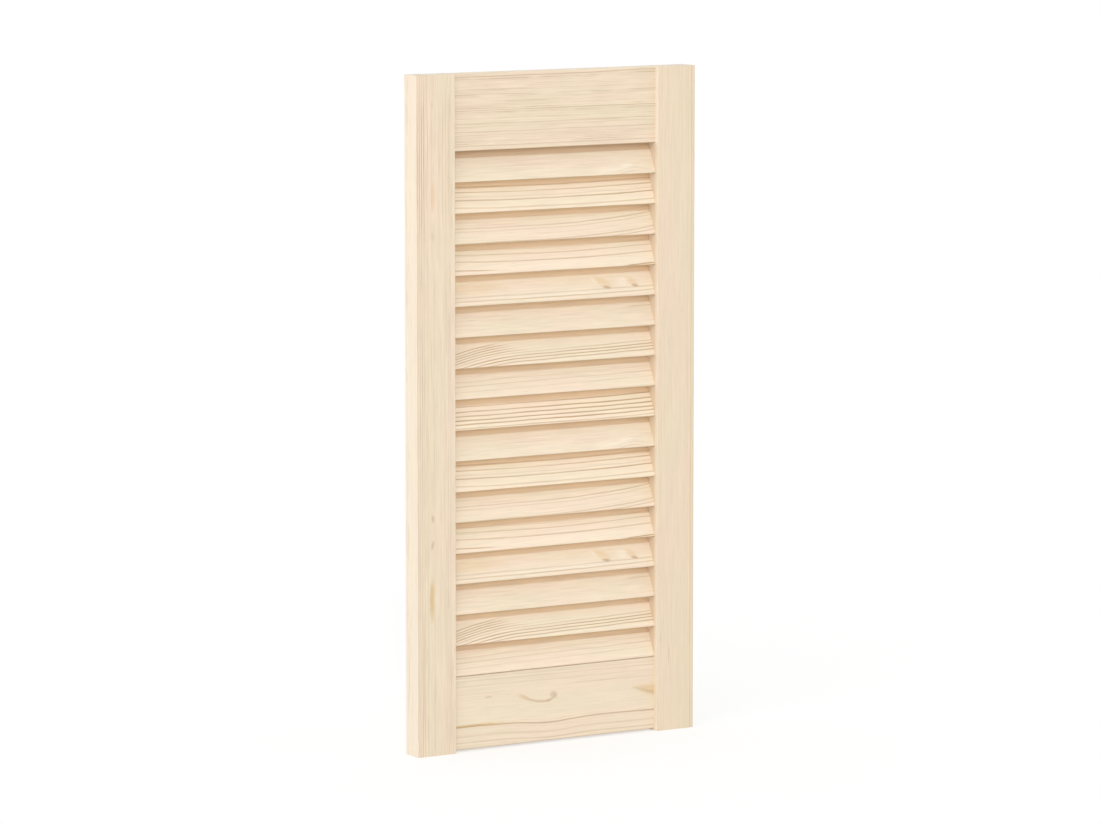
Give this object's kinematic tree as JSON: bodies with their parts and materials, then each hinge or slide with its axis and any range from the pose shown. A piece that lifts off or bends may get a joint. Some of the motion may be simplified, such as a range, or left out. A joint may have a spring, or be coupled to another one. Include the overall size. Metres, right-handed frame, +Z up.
{
  "type": "louvred cabinet door",
  "caption": "Upright framed cabinet door in pine, with fixed slanting louvre slats housed between two stiles and dowelled top and bottom rails.",
  "frame": {"origin": "centre of the door's footprint, at the height of the stiles' lower ends", "axes": "+X to the right seen from the front, +Y from the front face to the back face, +Z up along the stiles"},
  "size_m": [0.294, 0.022, 0.615],
  "materials": {
    "stile_pine": "planed and sanded pine, untreated, fine upright grain",
    "rail_pine": "planed and sanded pine, untreated, level grain with small knots",
    "slat_pine": "planed pine strip, untreated, level grain",
    "dowel_beech": "fluted beech dowel"
  },
  "bodies": {
    "root": {"left_stile": "stile_pine", "right_stile": "stile_pine", "top_rail": "rail_pine", "bottom_rail": "rail_pine", "slat_01": "slat_pine", "slat_02": "slat_pine", "slat_03": "slat_pine", "slat_04": "slat_pine", "slat_05": "slat_pine", "slat_06": "slat_pine", "slat_07": "slat_pine", "slat_08": "slat_pine", "slat_09": "slat_pine", "slat_10": "slat_pine", "slat_11": "slat_pine", "slat_12": "slat_pine", "slat_13": "slat_pine", "slat_14": "slat_pine", "slat_15": "slat_pine", "slat_16": "slat_pine", "slat_17": "slat_pine", "top_left_upper_dowel": "dowel_beech", "top_left_lower_dowel": "dowel_beech", "top_right_upper_dowel": "dowel_beech", "top_right_lower_dowel": "dowel_beech", "bottom_left_upper_dowel": "dowel_beech", "bottom_left_lower_dowel": "dowel_beech", "bottom_right_upper_dowel": "dowel_beech", "bottom_right_lower_dowel": "dowel_beech"}
  },
  "joints": []
}
